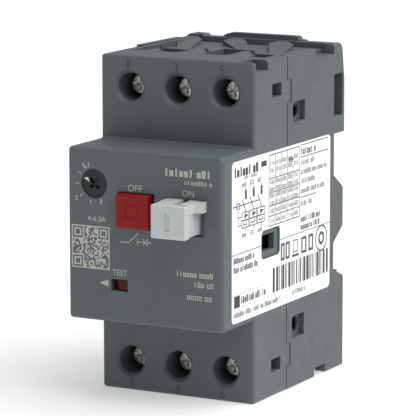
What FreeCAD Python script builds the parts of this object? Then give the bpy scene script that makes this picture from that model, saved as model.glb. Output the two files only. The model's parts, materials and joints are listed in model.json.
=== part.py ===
import FreeCAD, Part
import math
import os

# Three-pole motor protection breaker for 35 mm rail, in millimetres.
# Origin: centre of the rail seat. X to the right seen from the front, -Y out of the front, +Z up.

# Housing
HALF_WIDTH = 22.5
HALF_HEIGHT = 44.5
NOSE_HALF_HEIGHT = 22.5
NOSE_FRONT = -64.6
TERMINAL_FACE = -47.2
SEAM = -28.6
BASE_REAR = 6.55
BASE_TOP_REAR = 4.3
SLOPE_START = 32.4
TOP_SIDE_ROUND = 1.0
REAR_SIDE_ROUND = 0.35
BAR_TOP = 45.7
BLOCK_ROUND = 0.9
NOSE_ROUND = 1.1
REAR_CHAMFER = 0.5
SLOPE_SHOULDER = (5.0, 42.3)
HUMP_REAR = 4.8
BAR_Y = (2.6, 5.2)
BAR_PROFILE = ((-12.6, 42.6), (-12.6, 44.7), (-11.6, 45.3), (-10.2, BAR_TOP), (9.4, BAR_TOP),
               (10.1, 45.5), (10.4, 44.8), (11.9, 44.7), (11.9, 42.6))
HUMP_PROFILE = ((-22.4, 43.0), (-22.4, 44.6), (-21.4, 45.15), (-18.0, 45.0), (-17.4, 44.4),
                (-17.4, 43.0))
SIDE_RAIL = ((-28.15, 43.0), (-28.15, 44.9), (-5.8, 44.75), (-5.8, 43.0))
SIDE_RAIL_INNER = -20.9
SIDE_RAIL_NOTCH = ((-23, -20.5), (-5.8, -2.7), (43.9, 46))
FOOT_Y = (1.0, 5.55)
WALL = 2.0
CAVITY_HALF_WIDTH = 20.3
CAVITY_HALF_HEIGHT = 30.0
NOSE_CAVITY_HALF_HEIGHT = 20.5
INNER_HIGH = 40.5
INNER_LOW = 22.5
INNER_FRONT = -8.8
BASE_TOP = 44.5
BASE_BOTTOM = -44.2
RECESS_HALF_WIDTH = 19.4

# Poles and terminals
POLE_PITCH = 13.9
POLES = (-POLE_PITCH, 0.0, POLE_PITCH)
TERMINAL_Z = 36.3
SCREW_HOLE_R = 3.7
SCREW_MOUTH_R = 4.6
SCREW_HEAD_R = 2.8
SCREW_SHANK_R = 1.7
SCREW_TOP = -41.1
SCREW_HEAD_THICK = 2.2
BAR_FRONT = -32.6
BAR_THICK = 1.2
CHAMBER_HALF_WIDTH = 5.15
CHAMBER_FRONT = -39.2
CHAMBER_REAR = -25.0
CHAMBER_LOW = 32.3
ROOF_UNDERSIDE = 41.7
ENTRY_HALF_WIDTH = 4.9
ENTRY_REAR = (-20.0, -11.5, -20.0)
BAND_REAR = -35.65
FUNNEL = 1.1
BAR_SLOT_HALF_WIDTH = 3.7
BAR_SLOT_PLAY = 0.4
MOUTH_DEPTH = 0.7
PLATEAU_Z = 44.0
PLATEAU_REAR = -21.0
RECESS_START = -19.6
RECESS_REAR = 0.9
TOP_RECESS_Z = 43.0
CORNER_POCKET_FLOOR = 41.95
COVER_POCKET = ((18.0, 23), (-46.45, -39.65))
BASE_POCKET_X = (18.6, 23)
BASE_POCKETS = ((1, (-11.5, -0.1)), (-1, (-11.5, -4.7)))
GUSSET_TOP = 44.4
GUSSET_FRONT = -5.0
GUSSET_REAR = 2.6
GUSSET_LEFT = 8.6
RIB_X = (1.4, 2.3)
RIB_FRONT = -24.5

# Joint line and side openings
GROOVE_WIDTH = 0.45
GROOVE_DEPTH = 0.6
CATCH_OUTSIDE = 22.25
CATCH_REAR = -25.85
CATCH_SLOT_REAR = -25.8
NOTCH_X = (19.65, 23.0)
NOTCH_Y = (-37.25, -31.85)
NOTCH_Z = (34.5, 38.0)
SOCKET_SEAT = ((21.9, 23), (-42.85, -32.35), (-7.0, 0.4))
SOCKET_HOLE = ((20, 23), (-42.0, -34.8), (-5.2, -0.9))
SOCKET_ROUND = 1.2
CATCH_LOW = 32.0
CATCH_HIGH = 38.1
CATCH_PLAY = 0.05
WINDOW_Y = (-25.15, -17.95)
WINDOW_ROWS = ((26.5, 31.9), (-31.2, -25.2))
WINDOW_FLOOR = 21.0
WINDOW_ROUND = 1.1
WINDOW_HOLE_Y = (-23.5, -18.9)
WINDOW_HOLE_MARGIN = 1.0
WINDOW_HOLE_ROUND = 1.4
SCREEN_X = (17.8, 18.6)
SCREEN_LOW = 24.0
SOCKET_SCREEN_X = (17.0, 17.6)
SOCKET_SCREEN_Z = (-9.2, 2.2)
SOCKET_SHELF = 0.8
POCKET_FLOOR = 19.7
POCKET_Y = (-0.15, 5.15)
POCKET_Z = (25.0, 36.4)
UPPER_ROOM_HALF_WIDTH = 18.0
UPPER_ROOM_REAR = 3.7
LOWER_ROOM_REAR = -0.8

# Rating label
LABEL_DEPTH = 0.2
LABEL_Y = (-59.55, -2.15)
LABEL_Z = (-21.1, 20.6)
LABEL_PLAY = 0.1
LABEL_ROUND = 1.4
LABEL_WINDOW = ((20, 24), (-42.95, -32.25), (-7.1, 0.5))

# Terminal screws and bars
SCREW_EDGE = 0.4
SCREW_SLOT_HALF = 2.3
SCREW_CROSS_HALF = 1.6
SCREW_CUT_HALF = 0.4
SCREW_SLOT_DEPTH = 0.9
SCREW_CROSS_DEPTH = 1.3
BAR_HALF_WIDTH = 3.4
BAR_LEG_HALF_WIDTH = 2.2
BAR_LEG = (-10.3, -9.1)
BAR_RUN_Z = (28.3, 29.5)
BAR_END_Z = 41.0
BAR_LEG_END = 3.8
FIXED_TIP_R = 1.7
FIXED_TIP_REAR = -10.0

# Clamp cages
CAGE_FRONT = -34.6
CAGE_REAR = -25.4
CAGE_WALL = 1.4
CAGE_HALF_WIDTH = 4.85
CAGE_CHEEK = 0.9
CAGE_LOW = 32.6
CAGE_HIGH = 40.0
CAGE_ROUND = 0.6
THREAD_PLAY = 0.05

# Push buttons
ON_LOW = 2.15
ON_HIGH = 10.8
ON_RAIL_HIGH = 11.2
ON_LEFT = 6.1
ON_RIGHT = 16.1
ON_FRONT = -72.6
ON_BACK = -52.15
ON_PLATE = 2.1
ON_INSET = 0.4
ON_NOTCH_RIGHT = 18.08
ON_NOTCH_LOW = 8.3
ON_STEP_RIGHT = 17.4
ON_FLANGE_Y = (-62.35, -61.2)
FLANGE_EDGE = 0.9
BUTTON_ROUND = 0.5
LUG_RIGHT = 18.0
LUG_LOW = 8.5
LUG_REAR = -64.65
LUG_TAPER = (-67.9, -67.1)
ON_GROOVE_X = (11.3, 13.2)
ON_GROOVE_DEPTH = 1.6
ON_MARK_X = (10.15, 11.6)
ON_MARK_Z = (4.15, 8.7)
ON_MARK_DEPTH = 0.35
ON_SPRING_X = 14.3
ON_SPRING_Z = 6.5
OFF_LEFT = -7.5
OFF_RIGHT = 2.0
OFF_LOW = 2.65
OFF_HIGH = 11.55
OFF_FRONT = -66.4
OFF_BACK = -47.05
OFF_PLATE = 3.2
OFF_GAP_RIGHT = 0.85
OFF_FLANGE_Y = (-58.0, -56.8)
OFF_RING_R = (1.6, 2.1)
OFF_RING_DEPTH = 0.15
OFF_RELIEF = 4.5
BUTTON_GAP = 0.25

# Rocker between the two buttons
ROCKER_X = 3.13
ROCKER_Y = -48.0
ROCKER_ON_ARM = 7.97
ROCKER_OFF_ARM = 5.58
ROCKER_TILT = -22.1
ROCKER_PIN_R = 0.9
PUSH_LEFT = 10.1
PUSH_RIGHT = -1.6
ROCKER_HUB_R = 1.9
ROCKER_HUB_Z = (0.2, 12.8)
ROCKER_ARM_Z = (4.2, 8.8)
ROCKER_ARM_HALF = 0.8
ROCKER_END_R = 1.0
ROCKER_PLAY = 0.05

# Mechanism frame
FRAME_Y = (-43.6, -42.6)
FRAME_HALF_WIDTH = 19.0
FRAME_Z = (-17.0, 19.5)
FRAME_TAB_Z = (9.0, 14.0)
FRAME_SLOT = ((-11.6, -6.4), (-14.6, -10.6))
FRAME_WINDOW = ((4.6, 10.4), (-4.6, 1.2))
EAR_X = (1.4, 4.9)
EAR_FRONT = -50.2
EAR_Z = ((-1.4, -0.2), (13.2, 14.4))

# Current dial
DIAL_X = -14.9
DIAL_Z = 13.2
DIAL_R = 3.65
DIAL_HOLE_R = 3.75
DIAL_FACE = -63.95
DIAL_MOUTH = 0.35
DIAL_KNOB_REAR = -61.5
DIAL_COLLAR_R = 4.4
DIAL_COLLAR_Y = (-62.4, -61.4)
DIAL_SHAFT_R = 1.6
DIAL_SHAFT_Y = (-61.6, -46.6)
CAM_R = 2.6
CAM_Y = (-48.4, -46.6)
CAM_OFFSET = (0.8, -0.4)
DIAL_CROSS_HALF = 1.75
DIAL_CROSS_WIDTH = 0.9
DIAL_CROSS_DEPTH = 0.9

# Test slider window
TEST_LEFT = -9.8
TEST_RIGHT = -4.9
TEST_LOW = -14.15
TEST_HIGH = -11.1
SLIDER_FRONT = -62.4
SLIDER_THICK = 1.2
SLIDER_EDGE = (1.2, 2.3, 0.8)
GRIP_X = (-7.9, -5.1)
GRIP_FRONT = -64.1
GRIP_INSET = 0.25
SLIDER_GROOVE_X = (-8.4, -7.9)
SLIDER_STEM = ((-9.2, -7.2), (-61.5, -39.2), (-13.6, -11.6))

# Trip bar
TRIP_BAR = ((-18.3, 12.5), (-39.2, -37.4), (-13.6, -11.2))
TRIP_FINGER_X = (-4.2, -3.2)
TRIP_FINGER_Y = (-38.0, -34.2)

# Contacts
CONTACT_GAP = 2.95
FIXED_TIP_FRONT = -11.05
CONTACT_Z = 6.0
BRIDGE_FRONT = -15.6
BRIDGE_THICK = 0.8
BRIDGE_HALF_WIDTH = 1.7
BRIDGE_HALF_HEIGHT = 8.0
MOVING_TIP_R = 1.6
HOLDER_FRONT = -20.4
HOLDER_HALF_WIDTH = 1.2
HOLDER_HALF_HEIGHT = 1.6
CARRIER_BEAM = ((-19.4, 19.4), (-24.0, -17.4), (-4.0, 4.0))
CARRIER_STEM = ((5.4, 9.6), (-42.2, -23.0), (-3.8, 0.4))
CARRIER_WINDOW_HALF = (2.1, 2.6)
OPENING_SPRING_X = 6.95
OPENING_SPRING_FRONT = -17.1

# Arc chutes
CHUTE_PLATES = 9
CHUTE_PITCH = 2.25
CHUTE_PLATE_HALF = 0.4
CHUTE_Y = (-8.4, -2.3)
CHUTE_HALF_WIDTH = 4.7
CHEEK_X = (4.6, 5.3)
CHEEK_REAR = -2.0
CHEEK_HALF_HEIGHT = 11.0

# Magnetic trip
COIL_Z = 17.0
COIL_R = 3.65
COIL_WIRE_R = 0.7
COIL_TURNS = 6
COIL_PITCH = 1.5
COIL_MIDDLE_Y = -34.0
BOBBIN_Y = (-40.15, -27.85)
BOBBIN_FLANGE = 0.65
BOBBIN_TUBE_R = (2.25, 2.85)
BOBBIN_FLANGE_R = 4.7
YOKE_Y = (-41.0, -27.0)
YOKE_Z = (12.0, 23.2)
YOKE_THICK = (0.8, 1.0)
YOKE_HALF_WIDTH = 4.6
YOKE_HOLE_R = 1.1
PLUNGER_R = 1.9
PLUNGER_Y = (-39.4, -29.6)
STRIKER_R = 0.75
STRIKER_Y = (-30.0, -25.3)
STRIKER_FOOT_Y = (-25.9, -25.1)
STRIKER_FOOT_LOW = 3.0
STRIKER_FOOT_HALF = 1.2

# Bimetal strips
BIMETAL_HALF_WIDTH = 2.5
BIMETAL_Y = (-36.2, -35.4)
BIMETAL_Z = (-28.3, -9.5)
BIMETAL_FOOT_REAR = -31.0
BIMETAL_FOOT_TOP = -27.3

# Rail recess and clip
RECESS_HIGH = 20.3
RECESS_LOW = -17.2
BOSS_REAR = 5.75
CLIP_HALF_WIDTH = 8.7
CLIP_FRONT = 1.35
CLIP_REAR = 4.05
CLIP_PLAY = 0.15
CLIP_Z = (-44.3, -17.5)
CLIP_NOSE = ((CLIP_FRONT, -18), (CLIP_FRONT, -15.4), (CLIP_FRONT + 0.6, -15.4), (CLIP_REAR, -17.4),
             (CLIP_REAR, -18))
CLIP_WINDOW = ((-2.8, 2.8), (0, 6), (-40.6, -24.4))
CLIP_TOOL_SLOT = ((-3, 3), (0, 6), (-43.4, -42.0))
SPRING_STOP_HALF_WIDTH = 2.4
SPRING_STOP_Z = (-35.8, -34.2)
HOOK_OUTLINE = ((1.4, RECESS_HIGH + 0.5), (1.4, 15.6), (2.0, 15.2), (3.4, 16.4),
                (3.4, RECESS_HIGH + 0.5))
HOOK_X = ((-18, -7), (7, 18))
RECESS_SEAT = ((0, RECESS_LOW), (2.3, RECESS_LOW), (2.3, RECESS_LOW - 0.6), (5.65, -19.2),
               (BASE_REAR, -20.3))
BOSS_LOW = ((BOSS_REAR, -5.2), (5.2, -5.9), (0, -9.5))
BOSS_HIGH = ((0, 9.0), (5.2, 5.5), (BOSS_REAR, 4.8))

# Springs: coil radius, wire radius, pitch and number of turns
CLIP_SPRING = (0.9, 0.22, 1.2, 8)
ON_SPRING = (1.0, 0.22, 1.6, 5)
OPENING_SPRING = (1.3, 0.28, 2.1, 7)

# How far a cut runs past the surface it opens
OVER = 1.0


def box(x, y, z):
    """A block given as three (low, high) pairs."""
    corner = FreeCAD.Vector(min(x), min(y), min(z))
    return Part.makeBox(abs(x[1] - x[0]), abs(y[1] - y[0]), abs(z[1] - z[0]), corner)


def rod_y(x, z, radius, y):
    """A cylinder along Y."""
    start = FreeCAD.Vector(x, min(y), z)
    return Part.makeCylinder(radius, abs(y[1] - y[0]), start, FreeCAD.Vector(0, 1, 0))


def rod_z(x, y, radius, z):
    """A cylinder along Z."""
    start = FreeCAD.Vector(x, y, min(z))
    return Part.makeCylinder(radius, abs(z[1] - z[0]), start, FreeCAD.Vector(0, 0, 1))


def prism_x(points, x):
    """A (y, z) outline pushed along X."""
    corners = [FreeCAD.Vector(x[0], y, z) for y, z in points]
    face = Part.Face(Part.makePolygon(corners + corners[:1]))
    return face.extrude(FreeCAD.Vector(x[1] - x[0], 0, 0))


def prism_z(points, z):
    """An (x, y) outline pushed along Z."""
    corners = [FreeCAD.Vector(x, y, z[0]) for x, y in points]
    face = Part.Face(Part.makePolygon(corners + corners[:1]))
    return face.extrude(FreeCAD.Vector(0, 0, z[1] - z[0]))


def prism_y(points, y):
    """An (x, z) outline pushed along Y."""
    corners = [FreeCAD.Vector(x, y[0], z) for x, z in points]
    face = Part.Face(Part.makePolygon(corners + corners[:1]))
    return face.extrude(FreeCAD.Vector(0, y[1] - y[0], 0))


def fuse(shapes):
    """Join shapes into one and drop the seams between flush faces."""
    whole = shapes[0].fuse(shapes[1:]) if len(shapes) > 1 else shapes[0]
    return whole.removeSplitter()


def flip(shape):
    """The same shape upside down, mirrored through Z = 0."""
    return shape.mirror(FreeCAD.Vector(0, 0, 0), FreeCAD.Vector(0, 0, 1))


def rounded(shape, radius, wanted):
    """Round the straight edges for which wanted(low corner, high corner) holds."""
    chosen = []
    for edge in shape.Edges:
        b = edge.BoundBox
        low = (b.XMin, b.YMin, b.ZMin)
        high = (b.XMax, b.YMax, b.ZMax)
        if wanted(low, high):
            chosen.append(edge)
    return shape.makeFillet(radius, chosen)


def runs_along_x(low, high):
    """True for an edge that runs along X."""
    return high[0] - low[0] > 0.1


def coil(radius, wire, pitch, turns, centre, axis):
    """A round wire wound into a helix that starts at centre and advances along axis."""
    path = Part.makeHelix(pitch, pitch * turns, radius)
    start = Part.Wire(Part.makeCircle(wire, FreeCAD.Vector(radius, 0, 0), FreeCAD.Vector(0, 1, 0)))
    wound = Part.Wire(path).makePipeShell([start], True, True)
    turn = FreeCAD.Rotation(FreeCAD.Vector(0, 0, 1), FreeCAD.Vector(axis))
    wound.Placement = FreeCAD.Placement(FreeCAD.Vector(centre), turn)
    return wound


# ---- Housing ----------------------------------------------------------------


def cover_outside():
    """Terminal block and raised nose, with softly rounded outer edges."""
    wide = (-HALF_WIDTH, HALF_WIDTH)
    block = box(wide, (TERMINAL_FACE, SEAM), (-HALF_HEIGHT, HALF_HEIGHT))
    block = rounded(block, BLOCK_ROUND, lambda low, high: low[1] < SEAM - OVER)
    nose = box(wide, (NOSE_FRONT, SEAM - WALL), (-NOSE_HALF_HEIGHT, NOSE_HALF_HEIGHT))
    nose = rounded(nose, NOSE_ROUND, lambda low, high: low[1] < SEAM - WALL - OVER)
    slope = ((TERMINAL_FACE - 4, NOSE_HALF_HEIGHT - 0.4), (TERMINAL_FACE + 0.2, NOSE_HALF_HEIGHT + 0.5),
             (TERMINAL_FACE + 0.2, NOSE_HALF_HEIGHT - 0.4))
    root = prism_x(slope, (-HALF_WIDTH + 1, HALF_WIDTH - 1))
    return fuse([block, nose, root, flip(root)])


def cover_cavity():
    """The room inside the front cover."""
    wide = (-CAVITY_HALF_WIDTH, CAVITY_HALF_WIDTH)
    nose = box(wide, (NOSE_FRONT + WALL, SEAM + OVER), (-NOSE_CAVITY_HALF_HEIGHT, NOSE_CAVITY_HALF_HEIGHT))
    deep = box(wide, (TERMINAL_FACE + WALL, SEAM + OVER), (-CAVITY_HALF_HEIGHT, CAVITY_HALF_HEIGHT))
    return nose.fuse(deep)


def top_recess():
    """The sunk surface of the top: a shallow front part, a short slope and a deeper rear part."""
    high = HALF_HEIGHT + OVER
    profile = [(BAND_REAR, PLATEAU_Z), (PLATEAU_REAR, PLATEAU_Z), (RECESS_START, TOP_RECESS_Z),
               (RECESS_REAR, TOP_RECESS_Z), (RECESS_REAR, high), (BAND_REAR, high)]
    return prism_x(profile, (-RECESS_HALF_WIDTH, RECESS_HALF_WIDTH))


def entry_funnel(middle):
    """The sloping lead-in of a wire entry, kept inside the shallow surface."""
    low = PLATEAU_Z - FUNNEL
    wide = ENTRY_HALF_WIDTH + FUNNEL
    front = Part.makeCone(ENTRY_HALF_WIDTH, wide, FUNNEL, FreeCAD.Vector(middle, SEAM, low))
    sides = prism_y([(middle - ENTRY_HALF_WIDTH, low), (middle + ENTRY_HALF_WIDTH, low),
                     (middle + wide, PLATEAU_Z), (middle - wide, PLATEAU_Z)], (SEAM, PLATEAU_REAR))
    sunk = box((-RECESS_HALF_WIDTH, RECESS_HALF_WIDTH), (BAND_REAR, 0), (low, PLATEAU_Z))
    return fuse([front, sides]).common(sunk)


def entry_cut(middle, rear):
    """A wire entry through the roof: round front end, straight sides and its lead-in."""
    z = (ROOF_UNDERSIDE - OVER, HALF_HEIGHT + OVER)
    straight = box((middle - ENTRY_HALF_WIDTH, middle + ENTRY_HALF_WIDTH), (SEAM, rear), z)
    return fuse([straight, rod_z(middle, SEAM, ENTRY_HALF_WIDTH, z), entry_funnel(middle)])


def chamber_cut(middle):
    """The room around one clamp cage."""
    return box((middle - CHAMBER_HALF_WIDTH, middle + CHAMBER_HALF_WIDTH),
               (CHAMBER_FRONT, CHAMBER_REAR), (CHAMBER_LOW, ROOF_UNDERSIDE))


def screw_hole(middle):
    """Round screwdriver hole with a soft mouth."""
    hole = rod_y(middle, TERMINAL_Z, SCREW_HOLE_R, (TERMINAL_FACE - OVER, CHAMBER_FRONT + 0.5))
    mouth = Part.makeCone(SCREW_MOUTH_R, SCREW_HOLE_R, MOUTH_DEPTH,
                          FreeCAD.Vector(middle, TERMINAL_FACE, TERMINAL_Z), FreeCAD.Vector(0, 1, 0))
    return hole.fuse(mouth)


def bar_slot(middle):
    """Passage for a terminal bar between its chamber and the main room."""
    return box((middle - BAR_SLOT_HALF_WIDTH, middle + BAR_SLOT_HALF_WIDTH),
               (BAR_FRONT - BAR_SLOT_PLAY, BAR_FRONT + BAR_THICK + BAR_SLOT_PLAY),
               (CAVITY_HALF_HEIGHT - 0.5, CHAMBER_LOW + 0.5))


def cover_upper_cuts():
    """Everything cut out of the upper terminal block."""
    cuts = [top_recess()]
    for middle in POLES:
        cuts.append(screw_hole(middle))
        cuts.append(chamber_cut(middle))
        cuts.append(bar_slot(middle))
        cuts.append(entry_cut(middle, SEAM + OVER))
    for side in (-1, 1):
        cuts.append(box([side * x for x in NOTCH_X], NOTCH_Y, NOTCH_Z))
    return cuts


def front_openings():
    """Holes for the buttons, the dial and the test slider, and the side socket."""
    gap = BUTTON_GAP
    low = ON_LOW - gap
    high = ON_RAIL_HIGH + 0.12
    through = (NOSE_FRONT - OVER, NOSE_FRONT + WALL + 0.5)
    shallow = (NOSE_FRONT - OVER, NOSE_FRONT + 0.5)
    return [
        box((ON_LEFT - gap, ON_RIGHT + 2 * gap), through, (low, high)),
        box((ON_RIGHT, ON_STEP_RIGHT), shallow, (low, high)),
        box((ON_RIGHT, ON_NOTCH_RIGHT), through, (ON_NOTCH_LOW, high)),
        box((OFF_LEFT - gap, OFF_RIGHT + OFF_GAP_RIGHT), through, (OFF_LOW - gap, OFF_HIGH + gap)),
        box((TEST_LEFT, TEST_RIGHT), through, (TEST_LOW, TEST_HIGH)),
        rod_y(DIAL_X, DIAL_Z, DIAL_HOLE_R, through),
        Part.makeCone(DIAL_HOLE_R + DIAL_MOUTH, DIAL_HOLE_R, DIAL_MOUTH,
                      FreeCAD.Vector(DIAL_X, NOSE_FRONT, DIAL_Z), FreeCAD.Vector(0, 1, 0)),
        rounded(box(*SOCKET_SEAT), SOCKET_ROUND, runs_along_x),
        box(*SOCKET_HOLE),
    ]


def label_recess():
    """Shallow seat of the rating label, across cover and base."""
    seat = box((HALF_WIDTH - LABEL_DEPTH, HALF_WIDTH + OVER),
               (LABEL_Y[0] - LABEL_PLAY, LABEL_Y[1] + LABEL_PLAY),
               (LABEL_Z[0] - LABEL_PLAY, LABEL_Z[1] + LABEL_PLAY))
    return rounded(seat, LABEL_ROUND + LABEL_PLAY, runs_along_x)


def catch(side, sign):
    """A snap tongue of the cover that fills its slot in the base wall."""
    return box((side * (CAVITY_HALF_WIDTH + 0.1), side * CATCH_OUTSIDE), (SEAM - WALL, CATCH_REAR),
               (sign * CATCH_LOW, sign * CATCH_HIGH))


def socket_screen():
    """A wall on two shelves that closes the view through the side socket."""
    run = (SOCKET_HOLE[1][0] - 0.3, SEAM - 0.4)
    low, high = SOCKET_SCREEN_Z
    across = (SOCKET_SCREEN_X[0], CAVITY_HALF_WIDTH + 0.1)
    wall = box(SOCKET_SCREEN_X, run, SOCKET_SCREEN_Z)
    return [wall, box(across, run, (low, low + SOCKET_SHELF)), box(across, run, (high - SOCKET_SHELF, high))]


def build_front_cover():
    """The one-piece front cover with its nose and both rows of terminals."""
    upper = cover_upper_cuts()
    cuts = [cover_cavity()]
    cuts += upper
    cuts += [flip(cut) for cut in upper]
    cuts += front_openings()
    cuts.append(label_recess())
    cuts.append(box(*COVER_POCKET, (CORNER_POCKET_FLOOR, HALF_HEIGHT + OVER)))
    shell = cover_outside().cut(cuts)
    catches = [catch(side, sign) for side in (-1, 1) for sign in (-1, 1)]
    return fuse([shell] + catches + socket_screen())


def base_outside():
    """The base block with its sloping rear top and its rim, before anything is cut away."""
    outline = [(SEAM, BASE_BOTTOM), (BASE_REAR - REAR_CHAMFER, BASE_BOTTOM),
               (BASE_REAR, BASE_BOTTOM + REAR_CHAMFER), (BASE_REAR, SLOPE_START), SLOPE_SHOULDER,
               (BASE_TOP_REAR, BASE_TOP), (SEAM, BASE_TOP)]
    block = prism_x(outline, (-HALF_WIDTH, HALF_WIDTH))
    block = rounded(block, TOP_SIDE_ROUND,
                    lambda low, high: high[0] - low[0] < 0.1 and high[1] - low[1] > 10
                    and low[2] > BASE_TOP - 0.1)
    block = rounded(block, REAR_SIDE_ROUND,
                    lambda low, high: high[0] - low[0] < 0.1 and low[1] > BASE_REAR - 0.1
                    and high[2] - low[2] > 10)
    foot = box((-HALF_WIDTH + 1, HALF_WIDTH - 1), FOOT_Y, (-HALF_HEIGHT, BASE_BOTTOM + OVER))
    bar = prism_y(BAR_PROFILE, BAR_Y)
    hump = prism_y(HUMP_PROFILE, (0, HUMP_REAR))
    rail = prism_x(SIDE_RAIL, (-HALF_WIDTH, SIDE_RAIL_INNER))
    return fuse([block, foot, bar, hump, rail])


def joint_groove():
    """The fine groove around the base where it meets the cover."""
    run = (SEAM - 0.5, SEAM + GROOVE_WIDTH)
    outside = box((-HALF_WIDTH - OVER, HALF_WIDTH + OVER), run, (-HALF_HEIGHT - OVER, HALF_HEIGHT + OVER))
    kept = box((-HALF_WIDTH + GROOVE_DEPTH, HALF_WIDTH - GROOVE_DEPTH), run,
               (BASE_BOTTOM + GROOVE_DEPTH, BASE_TOP - GROOVE_DEPTH))
    return outside.cut(kept)


def rail_recess():
    """The channel in the back that sits on the rail, around its middle boss."""
    rear = BASE_REAR + OVER
    across = (-HALF_WIDTH - OVER, HALF_WIDTH + OVER)
    low_edge = (rear, RECESS_SEAT[-1][1])
    high_edge = (rear, BOSS_HIGH[-1][1])
    below = prism_x([*RECESS_SEAT, low_edge, (rear, BOSS_LOW[0][1]), *BOSS_LOW], across)
    above = prism_x([*BOSS_HIGH, high_edge, (rear, RECESS_HIGH), (0, RECESS_HIGH)], across)
    cap = box(across, (BOSS_REAR, rear), (BOSS_LOW[0][1] - OVER, BOSS_HIGH[-1][1] + OVER))
    return [below, above, cap]


def base_cavities():
    """Rooms inside the base."""
    wide = (-CAVITY_HALF_WIDTH, CAVITY_HALF_WIDTH)
    main = box(wide, (SEAM - OVER, -WALL), (-CAVITY_HALF_HEIGHT, CAVITY_HALF_HEIGHT))
    upper = box((-UPPER_ROOM_HALF_WIDTH, UPPER_ROOM_HALF_WIDTH), (INNER_FRONT, UPPER_ROOM_REAR),
                (INNER_LOW, INNER_HIGH))
    lower = box(wide, (INNER_FRONT, LOWER_ROOM_REAR), (-INNER_HIGH, -INNER_LOW))
    return [main, upper, lower]


def base_entry_cuts(sign):
    """Wire entries, cage rooms and the sunk surfaces of the base's top or bottom."""
    cuts = [top_recess()]
    for middle, rear in zip(POLES, ENTRY_REAR):
        cuts.append(entry_cut(middle, rear))
        cuts.append(box((middle - ENTRY_HALF_WIDTH, middle + ENTRY_HALF_WIDTH),
                        (SEAM - OVER, rear), (CHAMBER_LOW, ROOF_UNDERSIDE + OVER)))
        cuts.append(chamber_cut(middle))
    if sign > 0:
        return cuts
    return [flip(cut) for cut in cuts]


def side_window(side, low, high):
    """A sunk window in a side wall with a rounded hole through its floor."""
    front = WINDOW_Y[0]
    sunk = box((side * WINDOW_FLOOR, side * (HALF_WIDTH + OVER)), WINDOW_Y, (low, high))
    sunk = rounded(sunk, WINDOW_ROUND,
                   lambda start, end: end[0] - start[0] > 1 and end[1] < front + 0.1)
    hole = box((side * (WINDOW_FLOOR - OVER), side * (WINDOW_FLOOR + OVER)), WINDOW_HOLE_Y,
               (low + WINDOW_HOLE_MARGIN, high - WINDOW_HOLE_MARGIN))
    return sunk.fuse(rounded(hole, WINDOW_HOLE_ROUND, runs_along_x))


def base_side_cuts():
    """Windows, catch slots and the open pockets in the side walls."""
    cuts = [joint_groove()]
    for side in (-1, 1):
        outward = side * (HALF_WIDTH + OVER)
        for low, high in WINDOW_ROWS:
            cuts.append(side_window(side, low, high))
        for sign in (-1, 1):
            cuts.append(box((side * (CAVITY_HALF_WIDTH - 0.2), outward), (SEAM - OVER, CATCH_SLOT_REAR),
                            (sign * (CATCH_LOW - CATCH_PLAY), sign * (CATCH_HIGH + CATCH_PLAY))))
        cuts.append(box((side * POCKET_FLOOR, outward), POCKET_Y, POCKET_Z))
    for sign, y in BASE_POCKETS:
        cuts.append(box(BASE_POCKET_X, y, (sign * CORNER_POCKET_FLOOR, sign * (HALF_HEIGHT + 2 * OVER))))
    cuts.append(box(*SIDE_RAIL_NOTCH))
    return cuts


def top_gussets():
    """Three raised gusset plates on the sunk top, each with a ramp up from its wire entry."""
    plates = []
    for middle, rear in zip(POLES, ENTRY_REAR):
        left = middle - GUSSET_LEFT
        plan = [(left, GUSSET_FRONT - 0.2), (middle - 1.3, GUSSET_FRONT), (middle - 7.0, GUSSET_REAR),
                (left, GUSSET_REAR)]
        plates.append(prism_z(plan, (TOP_RECESS_Z - 0.5, GUSSET_TOP)))
        corners = [FreeCAD.Vector(middle - 1.0, rear, TOP_RECESS_Z),
                   FreeCAD.Vector(middle + 2.1, rear, TOP_RECESS_Z),
                   FreeCAD.Vector(middle - 1.3, GUSSET_FRONT, GUSSET_TOP),
                   FreeCAD.Vector(left, GUSSET_FRONT, GUSSET_TOP)]
        slope = Part.Face(Part.makePolygon(corners + corners[:1]))
        plates.append(slope.extrude(FreeCAD.Vector(0, 0, TOP_RECESS_Z - GUSSET_TOP - 0.2)))
    return plates


def screens():
    """Inner walls that stand behind the side windows."""
    walls = []
    for side in (-1, 1):
        for sign in (-1, 1):
            walls.append(box([side * x for x in SCREEN_X], (WINDOW_Y[0], WINDOW_Y[1] + WALL),
                             (sign * SCREEN_LOW, sign * (CAVITY_HALF_HEIGHT + 0.5))))
    return walls


def entry_ribs():
    """Thin ribs standing in the wire entries, along the base."""
    ribs = []
    for middle, rear in zip(POLES, ENTRY_REAR):
        for sign in (-1, 1):
            ribs.append(box((middle + RIB_X[0], middle + RIB_X[1]), (RIB_FRONT, rear + 0.4),
                            (sign * (CHAMBER_LOW - 0.3), sign * (TOP_RECESS_Z - 0.2))))
    return ribs


def rail_hooks():
    """Two fixed hooks that reach behind the rail's upper lip."""
    return [prism_x(HOOK_OUTLINE, x) for x in HOOK_X]


def clip_slot():
    """Slot of the rail clip from the bottom face into the recess."""
    half = CLIP_HALF_WIDTH + CLIP_PLAY
    return box((-half, half), (CLIP_FRONT - CLIP_PLAY, CLIP_REAR + CLIP_PLAY),
               (-HALF_HEIGHT - OVER, RECESS_LOW + OVER))


def build_rear_base():
    """The base that sits on the rail and holds the contact system."""
    cuts = rail_recess() + base_cavities() + base_entry_cuts(1) + base_entry_cuts(-1)
    cuts += base_side_cuts()
    cuts.append(label_recess())
    cuts.append(clip_slot())
    shell = base_outside().cut(cuts)
    spring_stop = box((-SPRING_STOP_HALF_WIDTH, SPRING_STOP_HALF_WIDTH),
                      (CLIP_FRONT - 0.5, CLIP_REAR + 0.5), SPRING_STOP_Z)
    return fuse([shell, spring_stop] + top_gussets() + screens() + entry_ribs() + rail_hooks())


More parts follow.
